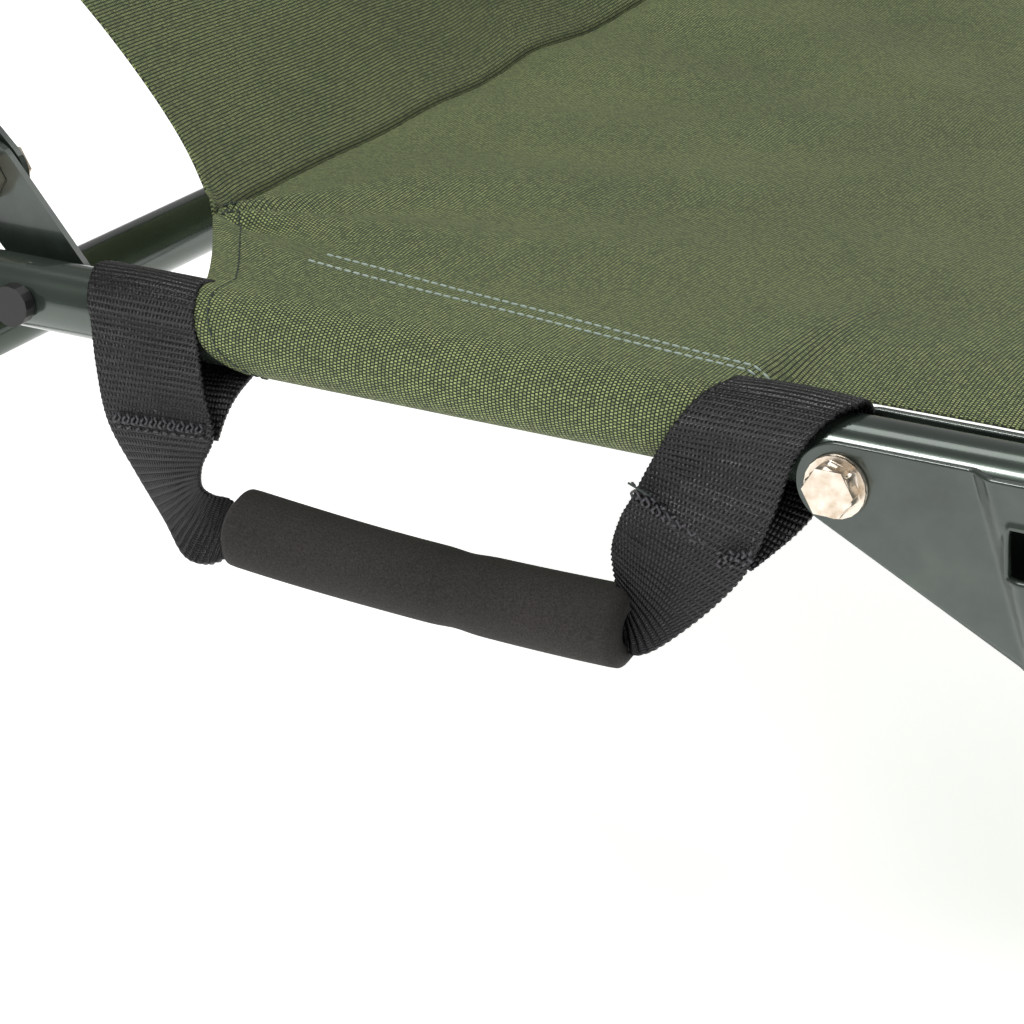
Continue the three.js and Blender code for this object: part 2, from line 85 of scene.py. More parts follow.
SHELL_MERGE = 1e-7  # metres, for shells whose poles or seams coincide
Array = np.ndarray
Object = bpy.types.Object
Tree = bpy.types.NodeTree
Socket = bpy.types.NodeSocket


class Side(Enum):
    """The two long sides of the cot; the value is the sign of y from the middle plane."""

    NEAR = -1
    FAR = 1

    @property
    def tag(self) -> str:
        """The side's name as it stands in a piece's name."""
        return self.name.lower()


class Slot:
    """Material slots of the record."""

    TUBE = "painted_tube"
    STEEL = "pressed_steel"
    BOLT = "zinc_bolt"
    CAP = "black_cap"
    RUBBER = "foot_rubber"
    CLOTH = "oxford_cloth"
    WEBBING = "webbing"
    FOAM = "grip_foam"


# ---- shapes
def smooth(t: Array) -> Array:
    """Zero before 0, one after 1, and 3t^2 - 2t^3 between."""
    t = np.clip(t, 0, 1)
    return t * t * (3 - 2 * t)


def bundle(*parts: Array | float) -> Array:
    """Spreads coordinates to one shape and stacks them on a last axis."""
    return np.stack(np.broadcast_arrays(*parts), axis=-1)


def running(steps: Array) -> Array:
    """The distance run at each point, from the steps between them."""
    return np.concatenate([[0], np.cumsum(steps)])


def spaced(stops: Sequence[float], counts: Sequence[int]) -> Array:
    """Evenly spaced places from each stop to the next, as many as its count."""
    runs = [np.linspace(a, b, n) for a, b, n in zip(stops, stops[1:], counts)]
    return np.unique(np.concatenate(runs))


def unit(vectors: Array, least: float = 0.0) -> Array:
    """Vectors scaled to length one, where they are longer than least."""
    return vectors / np.maximum(np.linalg.norm(vectors, axis=1), least)[:, None]


def grid_faces(
    rows: int, columns: int, close_rows: bool = False, close_columns: bool = False
) -> Array:
    """Quads of a grid of points numbered row by row, joined round where a direction is closed."""
    i = np.arange(rows if close_rows else rows - 1)
    j = np.arange(columns if close_columns else columns - 1)
    ii, jj = np.meshgrid(i, j, indexing="ij")
    row, after, beside = ii * columns, (ii + 1) % rows * columns, (jj + 1) % columns
    corners = (row + jj, after + jj, after + beside, row + beside)
    return np.stack(corners, axis=-1).reshape(-1, 4)


def make_mesh(name: str, points: Array, faces: Sequence, uv: Array | None = None) -> Object:
    """Makes a smooth-shaded object; points and the map for woven patterns are in metres."""
    mesh = bpy.data.meshes.new(name)
    mesh.from_pydata(np.asarray(points).reshape(-1, 3).tolist(), [], [list(f) for f in faces])
    mesh.polygons.foreach_set("use_smooth", np.ones(len(mesh.polygons), bool))
    if uv is not None:
        layer = mesh.uv_layers.new(name="weave")
        corner = np.zeros(len(mesh.loops), np.int32)
        mesh.loops.foreach_get("vertex_index", corner)
        places = np.asarray(uv).reshape(-1, 2)[corner]
        layer.data.foreach_set("uv", places.astype(np.float32).ravel())
    mesh.validate()
    obj = bpy.data.objects.new(name, mesh)
    bpy.context.scene.collection.objects.link(obj)
    return obj


def weld(obj: Object, distance: float) -> None:
    """Merges points within a distance in metres and turns all faces outwards."""
    work = bmesh.new()
    work.from_mesh(obj.data)
    bmesh.ops.remove_doubles(work, verts=work.verts, dist=distance)
    bmesh.ops.recalc_face_normals(work, faces=work.faces)
    work.to_mesh(obj.data)
    work.free()


def thicken(obj: Object, thickness: float) -> None:
    """Gives a sheet its thickness in millimetres, half to each side, with a Solidify modifier."""
    modifier = obj.modifiers.new("thickness", "SOLIDIFY")
    modifier.thickness = thickness * MM
    modifier.offset = 0.0
    modifier.use_even_offset = False


def through(points: Sequence, samples: int) -> Array:
    """A Catmull-Rom curve: each span is a cubic whose end slopes come from the neighbours."""
    p = np.asarray(points, float)
    p = np.vstack([2 * p[0] - p[1], p, 2 * p[-1] - p[-2]])
    t = np.linspace(0, len(p) - 3 - 1e-9, samples)
    k = t.astype(int)
    f = (t - k)[:, None]
    a, b, c, d = p[k], p[k + 1], p[k + 2], p[k + 3]
    slope, square, cube = c - a, 2 * a - 5 * b + 4 * c - d, 3 * b - a - 3 * c + d
    return 0.5 * (2 * b + slope * f + square * f**2 + cube * f**3)


def circles_along(path: Array, sides: int) -> tuple[Array, Array]:
    """Unit circles square to a path at each point, without twist, and the path's direction."""
    way = unit(np.gradient(path, axis=0))
    upright = abs(way[0, 2]) >= 0.9
    seed = np.array([1.0, 0.0, 0.0]) if upright else np.array([0.0, 0.0, 1.0])
    first = np.zeros_like(way)
    for i, w in enumerate(way):
        seed = seed - w * (seed @ w)
        seed /= np.linalg.norm(seed)
        first[i] = seed
    second = np.cross(way, first)
    angle = np.linspace(0, 2 * np.pi, sides, endpoint=False)[None, :, None]
    return np.cos(angle) * first[:, None] + np.sin(angle) * second[:, None], np.cross(first, second)


def pipe(name: str, path: Array, outer: float, inner: float, sides: int = 48) -> Object:
    """A round tube with a wall, in metres: a closed shell with a small lip at both ends."""
    circle, way = circles_along(path, sides)
    lip = min(0.4 * MM, (outer - inner) / 3)
    body = path[:, None] + circle * outer
    body[0] += way[0] * lip
    body[-1] -= way[-1] * lip
    head, tail = (path[i, None] + circle[i] * (outer - lip) for i in (0, -1))
    points = np.concatenate([head[None], body, tail[None], path[::-1, None] + circle[::-1] * inner])
    obj = make_mesh(name, points, grid_faces(len(points), sides, True, True))
    weld(obj, SHELL_MERGE)
    return obj


def stitch_row(name: str, places: Array, normals: Array, length: float, radius: float) -> Object:
    """Lock stitches along a line of places in metres: six-sided spindles, sunk in the cloth.

    length and radius are those of one stitch, in millimetres.
    """
    pitch, sunk, sides = 1.22, 0.4, 6
    length, radius = length * MM, radius * MM
    run = running(np.linalg.norm(np.diff(places, axis=0), axis=1))
    count = max(2, int(run[-1] / (length * pitch)))
    at = (np.arange(count) + 0.5) * run[-1] / count

    def sample(values: Array, where: Array) -> Array:
        return np.stack([np.interp(where, run, values[:, k]) for k in range(3)], axis=1)

    centre, out = sample(places, at), unit(sample(normals, at))
    ahead = unit(sample(places, at + 1e-4) - centre, 1e-12)
    cross = np.cross(out, ahead)
    along = np.array([-0.5, -0.32, 0.32, 0.5]) * length
    girth = np.array([0.25, 1.0, 1.0, 0.25]) * radius
    turn = np.linspace(0, 2 * np.pi, sides, endpoint=False)[None, None, :, None]
    out, ahead, cross = (v[:, None, None] for v in (out, ahead, cross))
    rim = np.cos(turn) * out + np.sin(turn) * cross
    points = centre[:, None, None] + out * radius * sunk + ahead * along[None, :, None, None]
    points = points + girth[None, :, None, None] * rim
    size = len(along) * sides
    caps = [list(range(sides)), list(range(size - 1, size - 1 - sides, -1))]
    one = [list(f) for f in grid_faces(len(along), sides, False, True)] + caps
    faces = [[i + size * k for i in f] for k in range(count) for f in one]
    return make_mesh(name, points, faces)


# ---- shader parts
def linear(colour: str) -> tuple[float, float, float, float]:
    """Turns an sRGB hex colour into linear light by the sRGB curve, with an alpha of one."""
    parts = [int(colour[i : i + 2], 16) / 255 for i in (1, 3, 5)]
    lin = [c / 12.92 if c <= 0.04045 else ((c + 0.055) / 1.055) ** 2.4 for c in parts]
    return lin[0], lin[1], lin[2], 1.0


def plug(tree: Tree, node: bpy.types.Node, **inputs: object) -> None:
    """Sets or links sockets, each named with underscores for spaces, or by _ and its number."""
    for key, value in inputs.items():
        socket = node.inputs[int(key[1:]) if key[0] == "_" else key.replace("_", " ")]
        if isinstance(value, Socket):
            tree.links.new(value, socket)
        else:
            socket.default_value = value


def add_node(tree: Tree, kind: str, settings: dict | None = None, **inputs: object):
    """Adds a shader node of a kind, sets its attributes and plugs its inputs."""
    node = tree.nodes.new("ShaderNode" + kind)
    for key, value in (settings or {}).items():
        setattr(node, key, value)
    plug(tree, node, **inputs)
    return node


def ramp(tree: Tree, fac: Socket, *stops: tuple[float, str]) -> Socket:
    """A colour ramp over fac with (position, hex colour) stops."""
    node = add_node(tree, "ValToRGB", _0=fac)
    elements = node.color_ramp.elements
    while len(elements) < len(stops):
        elements.new(0.5)
    for element, (position, colour) in zip(elements, stops):
        element.position = position
        element.color = linear(colour)
    return node.outputs["Color"]


def noise(tree: Tree, place: Socket, scale: float, detail: float, rough: float = 0.5) -> Socket:
    """Noise from 0 to 1 at a place."""
    node = add_node(tree, "TexNoise", Vector=place, Scale=scale, Detail=detail, Roughness=rough)
    return node.outputs["Fac"]


def spread(tree: Tree, value: Socket, low: float, high: float) -> Socket:
    """Maps 0 to 1 onto low to high."""
    return add_node(tree, "MapRange", Value=value, _3=low, _4=high).outputs["Result"]


def combine(tree: Tree, operation: str, *values: Socket | float) -> Socket:
    """The result of a sum on two or three values."""
    inputs = {f"_{i}": value for i, value in enumerate(values)}
    return add_node(tree, "Math", {"operation": operation}, **inputs).outputs["Value"]


def dent(tree: Tree, strength: float, depth_mm: float, height: Socket) -> Socket:
    """The surface's normal, tilted by a height of at most depth_mm."""
    node = add_node(tree, "Bump", Strength=strength, Distance=depth_mm * MM, Height=height)
    return node.outputs["Normal"]


# ---- finishes
class Finish:
    """A material made of one principled shader, whose sockets a subclass fills."""

    def sockets(self, tree: Tree, place: Socket) -> dict:
        """What the shader's sockets get, by name; place is the point on the object."""
        raise NotImplementedError

    def make(self, name: str) -> bpy.types.Material:
        """Builds the material under a name."""
        material = bpy.data.materials.new(name)
        material.use_nodes = True
        tree = material.node_tree
        place = add_node(tree, "TexCoord").outputs["Object"]
        plug(tree, tree.nodes["Principled BSDF"], **self.sockets(tree, place))
        return material


@dataclass(frozen=True)
class Enamel(Finish):
    """Stoving enamel on steel: dark grey-green, so smooth that it mirrors lights in long bands."""

    base: str = "#39433c"
    dusty: str = "#434d45"
    roughness: float = 0.16
    peel_mm: float = 1.6

    def sockets(self, tree: Tree, place: Socket) -> dict:
        """A slightly metallic base under a clear coat, with faint orange peel and dust."""
        peel = noise(tree, place, 1 / (self.peel_mm * MM), 1.0)
        dust = noise(tree, place, 45.0, 5.0, 0.6)
        return {
            "Base_Color": ramp(tree, dust, (0.3, self.base), (0.75, self.dusty)),
            "Roughness": spread(tree, dust, self.roughness, self.roughness + 0.12),
            "Normal": dent(tree, 0.04, 0.1, peel),
            "Metallic": 0.55, "Coat_Weight": 0.7, "Coat_Roughness": 0.08,
        }


@dataclass(frozen=True)
class ZincPlate(Finish):
    """Bright zinc on a forged bolt: warm silver with fine drawn scratches."""

    base: str = "#e6ddd0"
    dull: str = "#bcab96"

    def sockets(self, tree: Tree, place: Socket) -> dict:
        """A full metal whose roughness and tint drift with noise."""
        drift = noise(tree, place, 260.0, 4.0)
        return {
            "Base_Color": ramp(tree, drift, (0.3, self.dull), (0.7, self.base)),
            "Roughness": spread(tree, drift, 0.2, 0.38),
            "Normal": dent(tree, 0.1, 0.05, noise(tree, place, 2600.0, 2.0)),
            "Metallic": 1.0,
        }


@dataclass(frozen=True)
class Weave(Finish):
    """Woven cloth or webbing: offset rows of thread with painted shade in the gaps between them, on
    the surface's own map.
    """

    light: str
    mid: str
    dark: str
    pitch_mm: float
    row_mm: float
    height_mm: float
    roughness: float
    sheen: float
    across: bool = False

    def sockets(self, tree: Tree, place: Socket) -> dict:
        """Brick-bond threads give colour and bump, with painted shade in the gaps and a painted
        highlight on the threads' tops; slow noise varies the dye.
        """
        uv = add_node(tree, "UVMap", {"uv_map": "weave"}).outputs["UV"]
        wander = add_node(tree, "TexNoise", Vector=place, Scale=90.0, Detail=2.0).outputs["Color"]
        drift = (0.5 * MM, 0.5 * MM, 0)
        shift = add_node(tree, "VectorMath", {"operation": "MULTIPLY"}, _0=wander, _1=drift)
        uneven = add_node(
            tree, "VectorMath", {"operation": "ADD"}, _0=uv, _1=shift.outputs["Vector"])
        turned = (0, 0, math.pi / 2 if self.across else 0)
        turn = add_node(tree, "Mapping", Vector=uneven.outputs["Vector"], Rotation=turned)
        threads = add_node(
            tree, "TexBrick", {"offset": 0.5}, Vector=turn.outputs["Vector"], Scale=1.0,
            Color1=(1, 1, 1, 1), Color2=(0.72, 0.72, 0.72, 1), Mortar=(0, 0, 0, 1),
            Mortar_Size=0.24 * self.row_mm * MM, Mortar_Smooth=1.0,
            Brick_Width=self.pitch_mm * MM, Row_Height=self.row_mm * MM)
        dye = spread(tree, noise(tree, place, 14.0, 4.0, 0.55), -0.10, 0.10)
        fuzz = spread(tree, noise(tree, place, 1600.0, 2.0), -0.22, 0.22)
        total = combine(tree, "ADD", combine(tree, "ADD", threads.outputs["Color"], dye), fuzz)
        return {
            # painted light: the dark stop paints shade between the threads, the light stop a
            # highlight on their tops; the mid stop is the thread's own colour
            "Base_Color": ramp(tree, total, (0.12, self.dark), (0.62, self.mid), (1.0, self.light)),
            "Normal": dent(tree, 0.9, self.height_mm, total),
            "Roughness": self.roughness, "Sheen_Weight": self.sheen, "Sheen_Roughness": 0.5,
        }


@dataclass(frozen=True)
class Speckled(Finish):
    """Foam, rubber, thread or matt plastic: a fine grain that breaks up the light."""

    base: str
    speck: str
    grain_mm: float
    roughness: float
    depth_mm: float

    def sockets(self, tree: Tree, place: Socket) -> dict:
        """Fine noise colours and dents the surface."""
        grain = noise(tree, place, 1 / (self.grain_mm * MM), 3.0, 0.7)
        worn = combine(tree, "MULTIPLY_ADD", noise(tree, place, 25.0, 4.0), 0.3, grain)
        return {
            "Base_Color": ramp(tree, worn, (0.5, self.base), (0.85, self.speck)),
            "Normal": dent(tree, 0.6, self.depth_mm, grain),
            "Roughness": self.roughness,
        }


@dataclass
class Finishes:
    """Every material of the cot, made once."""

    made: dict[str, bpy.types.Material] = field(default_factory=dict)

    def build(self) -> None:
        """Makes each finish under its slot's name, and the three sewing threads."""
        makers = {
            Slot.TUBE: Enamel(),
            Slot.STEEL: Enamel(base="#2a312d", roughness=0.24),
            Slot.BOLT: ZincPlate(),
            Slot.CAP: Speckled("#0b0b0b", "#1a1a1a", 0.4, 0.45, 0.05),
            Slot.RUBBER: Speckled("#101010", "#1d1d1c", 0.5, 0.75, 0.08),
            # each weave's light colour is a painted highlight on the threads and its dark colour
            # painted shade in the gaps
            Slot.CLOTH: Weave(
                "#a3b071", "#55653a", "#10160a", 0.95, 1.25, 0.42, 0.68, 0.04, across=True),
            Slot.WEBBING: Weave(
                "#2b292d", "#0a090b", "#010101", 1.25, 1.9, 0.55, 0.30, 0.0),
            Slot.FOAM: Speckled("#191817", "#383431", 0.55, 0.95, 0.2),
            "thread_light": Speckled("#8b9c93", "#b9c6be", 0.3, 0.6, 0.05),
            "thread_dark": Speckled("#1f2a26", "#3a4842", 0.3, 0.6, 0.05),
            "thread_bar": Speckled("#151416", "#565258", 0.5, 0.5, 0.05),
        }
        for name, maker in makers.items():
            self.made[name] = maker.make(name)

    def dress(self, obj: Object, name: str) -> None:
        """Gives an object one finish."""
        obj.data.materials.clear()
        obj.data.materials.append(self.made[name])


# ---- the frame's own measures
@dataclass
class Layout:
    """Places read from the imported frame; local x runs from the grip's middle, z from the rail."""

    origin: Array
    half: float
    head_x: float
    head_z: float
    tilt: float
    hinge_x: float
    foot_end: float
    head_half: float

    @classmethod
    def read(cls, frame: dict) -> "Layout":
        """Reads the boxes of the rails, tubes and grip, and the joints' places."""
        near_low, near_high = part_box("near_seat_rail")
        far_low, far_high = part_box("far_seat_rail")
        grip_low, grip_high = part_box("handle_grip")
        near_y, far_y = (near_low.y + near_high.y) / 2, (far_low.y + far_high.y) / 2
        x0, z0 = (grip_low.x + grip_high.x) / 2, (near_low.z + near_high.z) / 2
        middle_y = (near_y + far_y) / 2
        joints = {j["name"]: j for j in frame["joints"]}
        tilt, fold = joints["head_tilt"], joints["foot_fold"]
        return cls(
            origin=np.array([x0, middle_y, z0]), half=(far_y - near_y) / 2 / MM,
            head_x=(tilt["pos_m"][0] - x0) / MM, head_z=(tilt["pos_m"][2] - z0) / MM,
            tilt=math.radians(-tilt["range_deg"][0]), hinge_x=(fold["pos_m"][0] - x0) / MM,
            foot_end=(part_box("near_foot_tube")[1].x - x0) / MM - TUBE_R,
            head_half=(middle_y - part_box("near_head_tube")[0].y) / MM - TUBE_R)

    def place(self, local: Array) -> Array:
        """Local millimetres, with y from the middle plane, to metres in the row frame."""
        return np.asarray(local, float) * MM + self.origin

    def near(self, local: Array) -> Array:
        """Local millimetres, with y inboard of the near rail's axis, to metres."""
        local = np.array(local, float)
        local[..., 1] -= self.half
        return self.place(local)

    def head(self, flat: Array) -> Array:
        """Points of the level head section, (along, y, up) from the pivot, raised to its tilt."""
        flat = np.asarray(flat, float)
        c, s = math.cos(self.tilt), math.sin(self.tilt)
        x = self.head_x - flat[..., 0] * c + flat[..., 2] * s
        z = self.head_z + flat[..., 0] * s + flat[..., 2] * c
        return self.place(bundle(x, flat[..., 1], z))

    def level(self, x: Array | float, z: Array | float) -> tuple[Array, Array]:
        """Local x and z back to the level head section's (along, up)."""
        c, s = math.cos(self.tilt), math.sin(self.tilt)
        x, z = x - self.head_x, z - self.head_z
        return -x * c + z * s, x * s + z * c


@dataclass
class Builder:
    """What every part of the cot is made with."""

    layout: Layout
    finishes: Finishes

    def fit(self, obj: Object, slot: str, node: str = "") -> None:
        """Gives a piece its slot and finish, in place of a CAD node where one is named."""
        self.finishes.dress(obj, slot)
        if node:
            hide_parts(node)


# ---- tubes
@dataclass
class TubeFrame(Builder):
    """All drawn tubes, remade round and smooth over their faceted CAD solids."""

    wall: float = 1.5
    bend: float = 80.0
    spans: int = 12
    middle_gap: float = 0.4
    paired: tuple[tuple[str, str, float], ...] = (
        ("seat_rail", "seat", TUBE_R), ("seat_leg", "seat_leg_frame", LEG_R),
        ("cross_tube_leg", "cross_tube_frame", TUBE_R), ("head_leg_tube", "head_leg", TUBE_R),
        ("foot_leg_tube", "foot_leg", TUBE_R))
    single: tuple[tuple[str, str], ...] = (
        ("seat_cross_tube", "seat"), ("seat_leg_brace", "seat_leg_frame"),
        ("pivot_cross_tube", "cross_tube_frame"), ("head_leg_floor_bar", "head_leg"),
        ("foot_leg_floor_bar", "foot_leg"))

    def draw(self, node: str, body: str, path: Array, radius: float, sides: int) -> None:
        """Makes one tube in its CAD node's place."""
        obj = pipe(f"{node}_smooth", path, radius * MM, (radius - self.wall) * MM, sides)
        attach(obj, body)
        self.fit(obj, Slot.TUBE, node)

    def axis(self, frame: dict, node: str) -> Array:
        """The ends of a straight tube's axis, along its points' longest direction."""
        mesh = frame["nodes"][node].data
        points = np.zeros(len(mesh.vertices) * 3)
        mesh.vertices.foreach_get("co", points)
        points = points.reshape(-1, 3)
        low, high = points.min(0), points.max(0)
        way = np.linalg.svd(points - points.mean(0), full_matrices=False)[2][0]
        run = (points - (low + high) / 2) @ way
        limits = (run.min(), run.max())
        return np.array([points[np.isclose(run, end, atol=2e-4)].mean(0) for end in limits])

    def half_loop(self, side: Side, start: float, end: float, half: float) -> Array:
        """One side tube and its half of the end tube, level: (along, y, up) round one bend."""
        t = np.linspace(0, np.pi / 2, 14)
        around = end - self.bend + self.bend * np.sin(t)
        across = half - self.bend + self.bend * np.cos(t)
        along = np.concatenate([[start, start + 60], around, [end]])
        out = np.concatenate([[half, half], across, [self.middle_gap]])
        return bundle(along, side.value * out, 0.0)

    def build(self, frame: dict) -> None:
        """Makes every straight and bent tube."""
        layout = self.layout
        jobs = [(f"{s.tag}_{node}", body, r) for node, body, r in self.paired for s in Side]
        jobs += [(node, body, TUBE_R) for node, body in self.single]
        for node, body, radius in jobs:
            self.draw(node, body, np.linspace(*self.axis(frame, node), self.spans), radius, 64)
        for side in Side:
            head = self.half_loop(side, 34.0, HEAD_END, layout.head_half)
            foot = self.half_loop(side, layout.hinge_x + 5.0, layout.foot_end, layout.half)
            self.draw(f"{side.tag}_head_tube", "head", layout.head(head), TUBE_R, 48)
            self.draw(f"{side.tag}_foot_tube", "foot", layout.place(foot), TUBE_R, 48)
        LOG.info("tubes made")


# ---- cloth
@dataclass
class Bed(Builder):
    """The stretched cloth: seat, head and foot panels with sewn sleeves round the tubes."""

    seam_x: float = -127.0
    corner: float = 63.0
    sleeves: tuple[tuple[float, float], ...] = ((-88.0, 84.0), (238.0, 381.0))
    head_sleeve: tuple[float, float] = (150.0, 550.0)
    foot_sleeve: tuple[float, float] = (490.0, 930.0)
    sleeve_r: float = 12.0
    flap_y: float = 46.0
    stitch_y: float = 43.0
    stitch_gap: float = 3.6
    top: float = 12.2
    sag: float = 15.0
    bay_y: float = 24.0
    bay_dip: float = 7.0
    tail_y: float = 26.0
    cloth: float = 0.7
    end_x: float = 405.0
    cross_x: float = 398.0
    bend: float = 80.0

    def edge(self, x: Array) -> Array:
        """How far inboard of the rail's axis the cloth ends: a notch at the head, then a bay."""
        first, last = self.sleeves[0][0], self.sleeves[-1][1]
        t = np.clip((x - self.seam_x) / (first - self.seam_x), 0, 1)
        notch = self.corner * (1 - t) ** 0.9
        tail = np.where(x > last, self.tail_y * smooth((x - last) / 10), 0)
        return np.where(x < first, notch, self.bay_y * self.bay(x) + tail)

    def bay(self, x: Array) -> Array:
        """Zero beside a sleeve, one along the free edge between the two sleeves."""
        start, end = self.sleeves[0][1], self.sleeves[1][0]
        return smooth((x - start) / 14) * smooth((end - x) / 14)

    def seam(self, y: Array) -> Array:
        """Where the fold seam crosses the bed: from the corner back towards the head."""
        inboard = self.layout.half - np.abs(y)
        return self.seam_x - 40 * (1 - np.exp(-np.clip(inboard - self.corner, 0, None) / 150))

    @staticmethod
    def cut_back(turn: Array) -> Array:
        """How far a sleeve's slanted end lies past its start, by the angle round the tube."""
        sine = np.sin(turn)
        return 6 * (1 - np.clip(sine, 0, 1)) + 15 * np.clip(-sine, 0, 1) ** 1.5

    def wrap(self) -> tuple[Array, Array, Array]:
        """The sleeve's section, over and round the tube and up beneath the bed.

        Each point has its place inboard of the tube's axis, its height, and its cut-back.
        """
        turn = np.linspace(np.pi / 2, -np.pi / 2 - 0.9, 34)
        flap = np.linspace(9.4, self.flap_y, 14)[1:]
        inboard = np.concatenate([-self.sleeve_r * np.cos(turn), flap])
        under = np.interp(flap, [9.4, 17.0, 28.0, self.flap_y], [-7.4, 3.5, 8.0, 9.4])
        level = np.concatenate([self.sleeve_r * np.sin(turn), under])
        level[0] = self.top
        back = np.concatenate([self.cut_back(turn), np.zeros_like(flap)])
        return inboard, level, np.maximum.accumulate(back)

    def sleeve(self, rows: Array, half: float, side: Side, slant: Array) -> tuple[Array, Array]:
        """One sleeve's points and surface map, at rows along a tube that lies half from the middle.

        slant is the share of the cut-back that each row takes.
        """
        inboard, level, back = self.wrap()
        run = running(np.hypot(np.diff(inboard), np.diff(level)))
        along = rows[:, None] + back * slant[:, None]
        points = bundle(along, (half - inboard) * side.value, level)
        return points, bundle(along, side.value * (half + run))

    def height(self, x: Array, y: Array) -> Array:
        """The seat cloth's height over the rail's axis: a sagging bed with soft folds."""
        inboard = self.layout.half - np.abs(y)
        free = 1 - np.exp(-(((x - self.cross_x) / 105) ** 2))
        bed = self.top - self.sag * free * smooth(inboard / self.layout.half * 1.1)
        dip = np.exp(-np.clip(inboard - self.bay_y, 0, None) / 32) * smooth(inboard / 12)
        bed -= self.bay_dip * self.bay(x) * dip
        # Long soft waves over the whole bed, stronger towards the foot.
        wander = np.sin((x * 0.8 + np.abs(y) * 0.55) / 21 + 0.6 * np.sin(y / 60))
        waves = 1.6 * wander * smooth((x - 40) / 160)
        waves += 1.2 * np.sin((x - 0.3 * y) / 34 + 1.3)
        waves += 0.5 * np.sin((x * 0.5 + y) / 13 + np.sin(x / 40))
        # Slanting waves that the straps pull into the cloth beside the head.
        pull = np.sin((np.abs(y) * 0.9 + x * 0.35) / 15 + 1.4 * np.sin(x / 60))
        waves += 1.1 * pull * np.exp(-(((x + 60) / 130) ** 2))
        # Puckers that fan out from the notch's corner, and the crease of the fold seam.
        corner = np.hypot(x - self.seam_x, inboard - self.corner)
        bearing = np.arctan2(inboard - self.corner, x - self.seam_x + 4)
        fan = 3.4 * np.exp(-corner / 85) * np.sin(bearing * 7.0) * smooth(corner / 14)
        crease = -3.0 * np.exp(-(((x - self.seam(y)) / 9) ** 2))
        crease *= smooth((inboard - self.corner) / 60)
        loose = smooth(inboard / 90) * free
        return bed + loose * waves + (fan + crease) * smooth((inboard - 20) / 30)

    def panel(self, node: str, parts: list[tuple[Array, Array]], place: Callable) -> Object:
        """Sews parts, grids of points with their surface coordinates, into one sheet."""
        grids, base = [], 0
        for points, _ in parts:
            rows, columns = points.shape[:2]
            grids.append(grid_faces(rows, columns) + base)
            base += rows * columns
        flat, surface = (np.concatenate([a.reshape(-1, a.shape[-1]) for a in kind])
                         for kind in zip(*parts))
        obj = make_mesh(f"{node}_sewn", place(flat), np.concatenate(grids), surface * MM)
        weld(obj, 0.02 * MM)
        thicken(obj, self.cloth)
        self.fit(obj, Slot.CLOTH, node)
        return obj

    def seat_panel(self) -> None:
        """The seat's cloth: the bed between its edges, and its sleeves round both rails."""
        layout = self.layout
        (first, first_end), (second, second_end) = self.sleeves
        stops = (self.seam_x, first, first_end, second, second_end, self.end_x)
        x = spaced(stops, (26, 90, 90, 50, 12))
        v = np.linspace(-1, 1, 241)
        yy = np.sign(v) * (1 - (1 - np.abs(v)) ** 1.25) * (layout.half - self.edge(x))[:, None]
        xx = x[:, None] + 0 * yy
        xx = xx + (self.seam(yy) - self.seam_x) * (1 - smooth((xx - self.seam_x) / 130))
        parts = [(bundle(xx, yy, self.height(xx, yy)), bundle(xx, yy))]
        for side in Side:
            for start, end in self.sleeves:
                rows = x[(x >= start - 1e-6) & (x <= end + 1e-6)]
                slant = (start == first) * (1 - smooth((rows - start) / 45))
                parts.append(self.sleeve(rows, layout.half, side, slant))
        obj = self.panel("seat_cloth", parts, layout.place)
        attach(obj, "seat")
        self.seat_sewing()

    def on_bed(self, x: Array, y: Array) -> tuple[Array, Array]:
        """Places and normals on the seat's upper face, from the height's two slopes."""
        step = 0.5
        z = self.height(x, y)
        dx = (self.height(x + step, y) - z) / step
        dy = (self.height(x, y + step) - z) / step
        normal = unit(bundle(-dx, -dy, 1.0))
        return self.layout.place(bundle(x, y, z)) + normal * (self.cloth / 2) * MM, normal

    def seat_sewing(self) -> None:
        """Twin rows beside each sleeve, a hem row round each notch, and the seam's zigzag."""
        half = self.layout.half
        for side in Side:
            for k, (start, end) in enumerate(self.sleeves):
                for row in range(2):
                    if k == 0:  # these rows slant from the notch to the bracket's bay
                        x = np.linspace(start + 15, end + 16, 160)
                        ends = [(34.0, 44.5)[row], (10.0, 13.4)[row]]
                        inboard = np.interp(x, [start + 15, end + 16], ends)
                    else:
                        x = np.linspace(start + 6, end - 5, 160)
                        inboard = self.stitch_y - self.stitch_gap * row
                    y = side.value * (half - inboard) + side.value * 0.5 * np.sin(x / 23)
                    name = f"{side.tag}_sleeve_stitch_{k}_{row}"
                    self.sew(name, *self.on_bed(x, y), 2.8, 0.42, "thread_light")
            x = np.linspace(self.seam_x + 0.5, self.sleeves[0][0] + 2, 60)
            y = side.value * (half - self.edge(x - 5) - 2.5)
            places, normals = self.on_bed(x + 3.5, y)
            turn = np.radians(np.linspace(80, -70, 40))
            hem_r = self.sleeve_r + self.cloth / 2
            wrap = bundle(
                self.sleeves[0][0] + 5.5 + self.cut_back(turn),
                side.value * (half + hem_r * np.cos(turn)), hem_r * np.sin(turn))
            out = bundle(0.0, side.value * np.cos(turn), np.sin(turn))
            places = np.vstack([places, self.layout.place(wrap)])
            normals = np.vstack([normals, out])
            self.sew(f"{side.tag}_notch_stitch", places, normals, 2.6, 0.3, "thread_dark")
            t = np.linspace(0, 1, 90)
            y = side.value * (half - (self.corner + 1 + 40 * t))
            x = self.seam(y) + 1.5 + 2.6 * np.abs(((t * 18) % 2) - 1)
            name = f"{side.tag}_corner_zigzag"
            self.sew(name, *self.on_bed(x, y), 2.2, 0.4, "thread_dark")

    def sew(
        self, name: str, places: Array, normals: Array, length: float, radius: float, thread: str
    ) -> None:
        """Lays one row of stitches on the seat in the given thread."""
        obj = stitch_row(name, places, normals, length, radius)
        self.finishes.dress(obj, thread)
        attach(obj, "seat")

